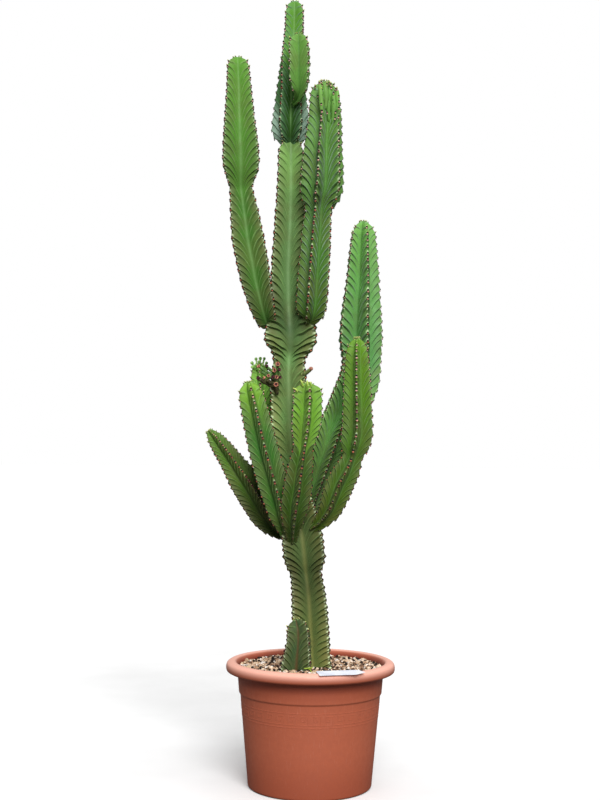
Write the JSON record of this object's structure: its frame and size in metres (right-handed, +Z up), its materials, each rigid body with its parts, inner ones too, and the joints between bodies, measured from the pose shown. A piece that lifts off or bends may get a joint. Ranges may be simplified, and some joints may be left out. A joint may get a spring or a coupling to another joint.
{
  "type": "potted euphorbia",
  "caption": "Tall branched succulent with ribbed, toothed green stems that rise from one trunk, in a round terracotta-coloured nursery pot with a rolled rim.",
  "frame": {"origin": "centre of the pot's flat base, on the surface that it stands on", "axes": "+Z up along the plant, +X to the right and -Y towards the viewer of the picture, on the label's side of the pot"},
  "size_m": [0.3853, 0.3421, 1.599],
  "materials": {
    "trunk": "satin",
    "basal_stub": "satin",
    "front_center_arm": "satin",
    "front_left_arm": "satin",
    "front_right_arm": "satin",
    "far_left_arm": "satin",
    "back_left_arm": "satin",
    "back_right_arm": "satin",
    "upper_left_arm": "satin",
    "upper_right_arm": "satin",
    "top_front_arm": "satin",
    "pot": "satin",
    "growing_mix": "matte",
    "flower_spray": "matte",
    "old_flower_stalk": "matte",
    "plant_label": "gloss",
    "seedling": "satin"
  },
  "bodies": {
    "root": {"pot": "pot", "growing_mix": "growing_mix", "trunk": "trunk", "basal_stub": "basal_stub", "front_center_arm": "front_center_arm", "front_left_arm": "front_left_arm", "front_right_arm": "front_right_arm", "far_left_arm": "far_left_arm", "back_left_arm": "back_left_arm", "back_right_arm": "back_right_arm", "upper_left_arm": "upper_left_arm", "upper_right_arm": "upper_right_arm", "top_front_arm": "top_front_arm", "flower_spray": "flower_spray", "old_flower_stalk": "old_flower_stalk", "plant_label": "plant_label", "seedling": "seedling"}
  },
  "joints": []
}
